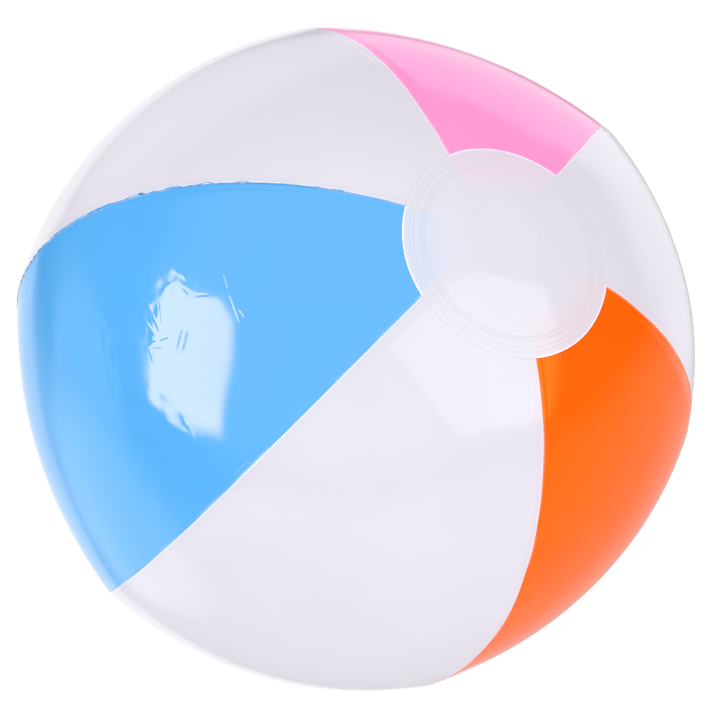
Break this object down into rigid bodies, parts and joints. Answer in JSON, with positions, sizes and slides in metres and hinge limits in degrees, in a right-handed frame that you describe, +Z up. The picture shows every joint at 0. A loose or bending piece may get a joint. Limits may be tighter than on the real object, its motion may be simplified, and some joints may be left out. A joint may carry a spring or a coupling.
{
  "type": "inflatable beach ball",
  "caption": "Inflated film ball of alternating coloured and white panels, with round end discs and a push-in valve with stopper.",
  "frame": {"origin": "centre of the bottom end disc's flat contact patch, straight below the ball's centre", "axes": "+Z up through both end discs, -Y towards the blue panel in front, +Y out through the valve at the back"},
  "size_m": [0.3067, 0.3063, 0.3083],
  "materials": {
    "film_orange": "gloss",
    "film_pink": "gloss",
    "film_blue": "gloss",
    "film_white": "gloss",
    "film_disc": "gloss",
    "valve_soft": "gloss"
  },
  "bodies": {
    "ball": {"panel_orange": "film_orange", "panel_white_back": "film_white", "panel_pink": "film_pink", "panel_white_left": "film_white", "panel_blue": "film_blue", "panel_white_front": "film_white", "end_disc_top": "film_disc", "end_disc_bottom": "film_disc", "valve_flange": "valve_soft", "valve_web": "valve_soft"},
    "stem": {"valve_stem": "valve_soft"},
    "plug": {"valve_plug": "valve_soft"},
    "flap": {"valve_check_flap": "valve_soft"}
  },
  "joints": [
    {"name": "stem_slide", "type": "slide", "parent": "ball", "child": "stem", "axis": [0, 1, 0], "range_m": [0, 0.012], "deforming": ["valve_web"]},
    {"name": "plug_hinge", "type": "hinge", "parent": "stem", "child": "plug", "pos_m": [-0.0088, 0.15445, 0.15416], "axis": [0, 0, 1], "range_deg": [0, 115]},
    {"name": "flap_hinge", "type": "hinge", "parent": "stem", "child": "flap", "pos_m": [-0.005, 0.143, 0.15416], "axis": [0, 0, -1], "range_deg": [0, 60], "stiffness_Nm_per_rad": 0.0001}
  ]
}
